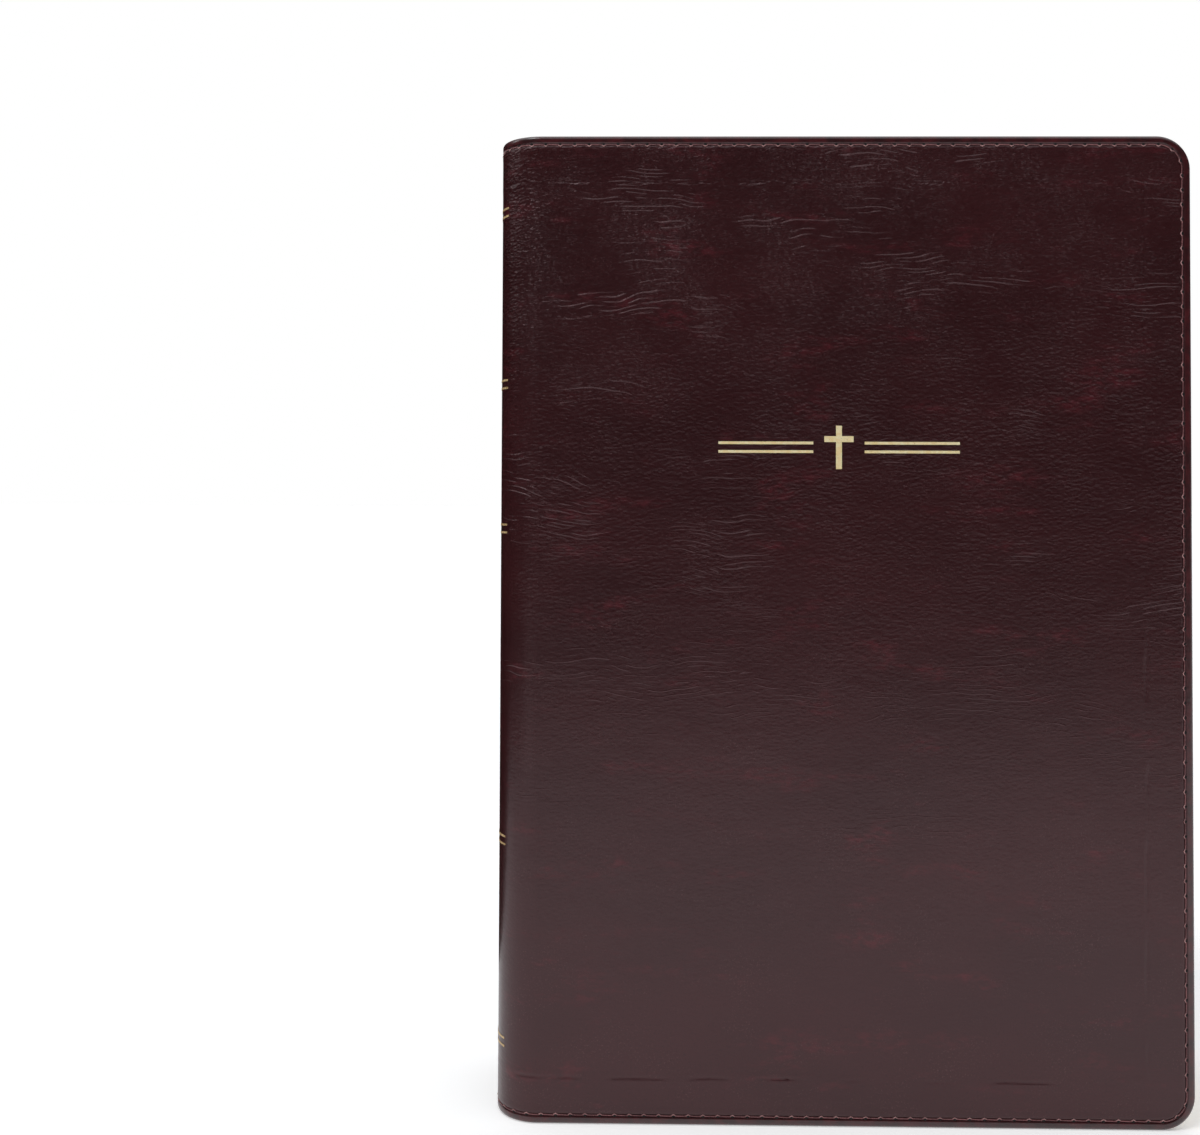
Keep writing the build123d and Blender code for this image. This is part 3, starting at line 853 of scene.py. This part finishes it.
def leaf_block(name, start, middle, thickness, bend_at, mats, levels=4):
    """Folded leaves: rounded at the fold, cut and rounded at the fore-edge."""
    half = thickness / 2
    end = fore_edge_x(middle)
    near, far = max(start, bend_at - LEAF_FINE_BEFORE), bend_at + LEAF_FINE_AFTER
    runs = steps(start, near, 1.5) if near > start + 0.1 else [start]
    runs += steps(near, far, 0.35)[1:]
    runs += steps(far, end - PAGE_CORNER, 8)[1:]
    levels_up = steps(PAGE_BOTTOM + PAGE_CORNER, PAGE_TOP - PAGE_CORNER, 12)
    plan = Plan(runs, PAGE_INSETS, PAGE_CORNER, PAGE_BOTTOM, PAGE_TOP, end, levels_up)
    verts = []

    def put(run, z, y):
        share = max(run - start, 0) / (end - start)
        pull = (fore_edge_x(y) - end) * share
        verts.append((run + pull, y, z))

    for y in (middle - half, middle + half):
        for c in range(plan.column_count):
            for r in range(plan.row_count):
                run, z, _ = plan.point(c, r)
                put(run, z, y)
    size = plan.column_count * plan.row_count
    path = plan.path(closed=True)
    rings = []
    for level in range(1, levels):
        angle = pi * level / levels
        y = middle - half * cos(angle)
        rings.append(len(verts))
        for c, r in path:
            if plan.columns[c][1] or plan.rows[r][1]:
                run, z = plan.ring_point(c, r, 0.0)
            else:
                run, z, _ = plan.point(c, r)
            push = half * sin(angle) if c == 0 else 0
            put(run - push, z, y)
    faces = grid_faces(plan, 0) + [tuple(reversed(f)) for f in grid_faces(plan, size)]
    slots = [0] * len(faces)
    first = [c * plan.row_count + r for c, r in path]
    loops = [first] + [[k + p for p in range(len(path))] for k in rings]
    loops.append([size + i for i in first])
    for a, b in zip(loops, loops[1:]):
        for p in range(len(path)):
            n = (p + 1) % len(path)
            faces.append((a[p], a[n], b[n], b[p]))
            slots.append(0 if path[p][0] == 0 and path[n][0] == 0 else 1)
    return make_object(name, verts, faces, mats, slots, angle=50)


def add_leaves():
    """Every section and flyleaf, with close columns about the turning line where a leaf has one.
    """
    for number in range(SECTIONS):
        middle = -BLOCK / 2 + SECTION / 2 + number * SECTION_PITCH
        word = f"{number + 1:02d}"
        joint = joints.get(f"section_{word}_turn")
        bend_at = joint["pos_m"][0] / MM if joint else STILL_FINE_X
        leaves = leaf_block("section_leaves_" + word, fold_x(middle), middle, SECTION,
                            bend_at, [printed_page, gilt_edge])
        if joint:
            y = joint["pos_m"][1]
            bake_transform(leaves)
        else:
            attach(leaves, "root")
        nodes = ["page_section_" + word]
        if number == 0:
            nodes.append("front_section_folds")
        if number == SECTIONS - 1:
            nodes.append("back_section_folds")
        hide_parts(*nodes)
    for word in ("front", "back"):
        joint = joints[word + "_flyleaf_turn"]
        x, y, _ = joint["pos_m"]
        leaf = leaf_block(word + "_endsheet", hinge_x + FLYLEAF / 2, y / MM, FLYLEAF,
                          x / MM, [endpaper, endpaper], levels=2)
        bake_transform(leaf)
        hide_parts(word + "_flyleaf", word + "_endsheet_fold")


add_leaves()


# ---------------------------------------------------------------- joint lining
def joint_lining(word, side):
    """Paper that bridges from the flyleaf's fold to the cover's lining, across the hinge."""
    low, high = FLYLEAF_FACE, LINING_FACE
    thick = JOINT_PAPER
    far, fold = hinge_x + STRIP_END, hinge_x + STRIP_FOLD
    outer = [(far, low), (fold, low)]
    count = 22
    for i in range(1, count):
        share = i / count
        y = low + (high - low) * share
        outer.append((fold - STRIP_BOW * sin(pi * share), y))
    outer += [(fold, high), (far, high)]
    inner = []
    for x, y in outer:
        mid = (low + high) / 2
        inner.append((x + (thick if x < hinge_x + 0.2 else 0),
                      y + thick * (1 if y < mid - 0.02 else -1 if y > mid + 0.02 else 0)))
    rows = steps(PAGE_BOTTOM + 0.2, PAGE_TOP - 0.2, 6)
    verts, faces = [], []
    size = len(outer)
    for z in rows:
        verts += [(x, side * y, z) for x, y in outer + inner]
    for r in range(len(rows) - 1):
        a, b = r * 2 * size, (r + 1) * 2 * size
        for i in range(size - 1):
            k = size + i
            faces.append((a + i, a + i + 1, b + i + 1, b + i))
            faces.append((a + k + 1, a + k, b + k, b + k + 1))
        for i in (0, size - 1):
            faces.append((a + i, b + i, b + size + i, a + size + i))
    for base in (0, (len(rows) - 1) * 2 * size):
        for i in range(size - 1):
            k = size + i
            faces.append((base + i, base + k, base + k + 1, base + i + 1))
    strip = make_object(word + "_joint_lining", verts, faces, [endpaper], angle=70)
    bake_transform(strip)


joint_lining("front", -1)
joint_lining("back", 1)


# ---------------------------------------------------------------- headbands
def add_band(node, low, high):
    """Silk-wrapped bead that follows the spine's inner curve, one bulge for each wrap."""
    ends = [spine_point(BEAD_DEPTH, a) for a in (-BEAD_REACH, BEAD_REACH)]
    angles = steps(-BEAD_REACH, -crown_angle, 0.4)
    angles += steps(-crown_angle, crown_angle, 0.065)[1:]
    angles += steps(crown_angle, BEAD_REACH, 0.4)[1:]
    z = (low + high) / 2
    points, radii, ways = [], [], []
    for angle in angles:
        x, y = spine_point(BEAD_DEPTH, angle)
        points.append(Vector((x, y, z)))
        ways.append(Vector((0, 0, 1)))
        share = abs(sin(pi * y / BEAD_PITCH))
        taper = smooth(0, 1.0, min(abs(y - ends[0][1]), abs(y - ends[1][1])) + 0.25)
        radii.append(BEAD_RADIUS * (0.86 + 0.14 * sqrt(share)) * taper)
    verts, faces, slots = [], [], []
    tube(points, radii, 16, verts, faces, slots, 0, ways)
    band = make_object(node + "_bead", verts, faces, [silk], slots, angle=60)
    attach(band, "root")
    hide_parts(node)


for node in ("headband", "tailband"):
    lower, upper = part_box(node)
    add_band(node, lower.z / MM, upper.z / MM)


# ---------------------------------------------------------------- CAD nodes that stay
def dress(kind, *names):
    """Give kept CAD nodes their finish."""
    for name in names:
        for holder in frame["nodes"][name].material_slots:
            holder.material = cad_finish[kind]


dress("lining", "front_cover_lining", "back_cover_lining")
dress("board", "front_cover_board", "back_cover_board")
dress("inlay", "spine_inlay")
dress("spine_paper", "spine_paper_lining")
dress("gauze", "spine_gauze")
dress("sewing", "sewing_threads")
dress("foil", "front_cover_ornament")
# the spine lines take the darker copy of the foil, painted shade
dress("foil_painted_shade", "spine_foil_lines")


# ---------------------------------------------------------------- stage
def floor_material():
    """Plain pale floor, lit a little from below as a light table is."""
    mat, kit, place, shader = material("pale_floor", own=False)
    tone = kit.noise(place, 6, 3, 0.5)
    color = kit.mix(tone, (0.90, 0.90, 0.90, 1), (0.93, 0.93, 0.93, 1))
    finish_shader(kit, shader, color, 0.75, Specular_IOR_Level=0.1,
                  Emission_Color=(1.0, 1.0, 1.0, 1), Emission_Strength=0.32)
    return mat


def add_floor():
    """Floor that reaches past the horizon."""
    size = 60.0
    mesh = bpy.data.meshes.new("floor")
    corners = [(-size, -size, 0), (size, -size, 0), (size, size, 0), (-size, size, 0)]
    mesh.from_pydata(corners, [], [(0, 1, 2, 3)])
    mesh.materials.append(floor_material())
    floor = bpy.data.objects.new("floor", mesh)
    bpy.context.scene.collection.objects.link(floor)


def add_light(name, place, target, size, power):
    """Soft white rectangle of light, turned towards its target."""
    data = bpy.data.lights.new(name, "AREA")
    data.shape = "RECTANGLE"
    data.size, data.size_y = size
    data.energy = power
    lamp = bpy.data.objects.new(name, data)
    bpy.context.scene.collection.objects.link(lamp)
    lamp.location = place
    way = Vector(target) - Vector(place)
    lamp.rotation_euler = way.to_track_quat("-Z", "Y").to_euler()


def dark_card_material():
    """Dull dark brown, which keeps its gloss off."""
    mat, kit, place, shader = material("dark_card", own=False)
    tone = kit.noise(place, 8, 2, 0.5)
    color = kit.mix(tone, (0.012, 0.009, 0.008, 1), (0.030, 0.020, 0.015, 1))
    finish_shader(kit, shader, color, 0.9, Specular_IOR_Level=0.0)
    return mat


def add_card(name, start, end, low, high):
    """Upright dark card that shows only in gloss, as the unlit side of a studio does."""
    mesh = bpy.data.meshes.new(name)
    corners = [(*start, low), (*end, low), (*end, high), (*start, high)]
    mesh.from_pydata(corners, [], [(0, 1, 2, 3)])
    mesh.materials.append(dark_card)
    card = bpy.data.objects.new(name, mesh)
    bpy.context.scene.collection.objects.link(card)
    card.visible_camera = card.visible_diffuse = card.visible_shadow = False
    card.visible_transmission = False


def add_sun(name, place, spread, power):
    """Soft source high in front, which brings out the grain and lights the floor evenly."""
    data = bpy.data.lights.new(name, "SUN")
    data.angle = radians(spread)
    data.energy = power
    lamp = bpy.data.objects.new(name, data)
    bpy.context.scene.collection.objects.link(lamp)
    lamp.location = place
    lamp.rotation_euler = (-Vector(place)).to_track_quat("-Z", "Y").to_euler()


def add_world():
    """White behind the object; its light comes from overhead, and the sides stay dark."""
    world = bpy.data.worlds.new("studio")
    bpy.context.scene.world = world
    world.use_nodes = True
    kit = Nodes(world.node_tree)
    out = world.node_tree.nodes["World Output"]
    seen = kit.add("ShaderNodeBackground", {"Color": (1, 1, 1, 1), "Strength": 1.0})
    way = kit.add("ShaderNodeTexCoord").outputs["Generated"]
    up = kit.add("ShaderNodeSeparateXYZ", {0: way}).outputs["Z"]
    power = kit.span(up, 0.50, 0.95, 0.05, 1.35)
    lit = kit.add("ShaderNodeBackground", {"Color": (0.96, 0.98, 1, 1), "Strength": power})
    ray = kit.add("ShaderNodeLightPath").outputs["Is Camera Ray"]
    both = kit.add("ShaderNodeMixShader", {
        0: ray, 1: lit.outputs[0], 2: seen.outputs[0]})
    world.node_tree.links.new(both.outputs[0], out.inputs["Surface"])


def add_camera():
    """At the distance, height and small tilts that give the book its outline in view."""
    yaw, pitch, roll = radians(-0.97), radians(1.32), radians(0.24)
    ahead = Vector((sin(yaw) * cos(pitch), cos(yaw) * cos(pitch), sin(pitch)))
    right = Vector((cos(yaw), -sin(yaw), 0))
    up = right.cross(ahead)
    right_rolled = right * cos(roll) + up * sin(roll)
    up_rolled = up * cos(roll) - right * sin(roll)
    data = bpy.data.cameras.new("camera")
    data.sensor_width = 36
    data.lens = 41.36
    data.shift_y = -0.08
    data.clip_start, data.clip_end = 0.01, 200
    camera = bpy.data.objects.new("camera", data)
    bpy.context.scene.collection.objects.link(camera)
    axes = Matrix((right_rolled, up_rolled, -ahead)).transposed()
    place = (-0.0556, -0.3725, 0.1561)
    camera.matrix_world = Matrix.Translation(place) @ axes.to_4x4()
    bpy.context.scene.camera = camera


dark_card = dark_card_material()

add_floor()
add_world()
add_camera()
add_card("front_card", (-2.0, -0.66), (2.0, -0.66), 0.0, 0.8)
add_card("left_card", (-0.45, 0.030), (-0.092, 0.030), 0.022, 0.27)
add_card("side_card", (-0.40, 0.030), (-0.40, -0.40), 0.022, 0.27)
add_sun("high_soft", (-0.45, -0.50, 1.0), 20, 0.75)
add_light("left_strip", (-0.80, 0.02, 0.70), (-0.08, 0, 0.22), (0.12, 0.30), 0.7)
bpy.context.scene.view_settings.view_transform = "Standard"
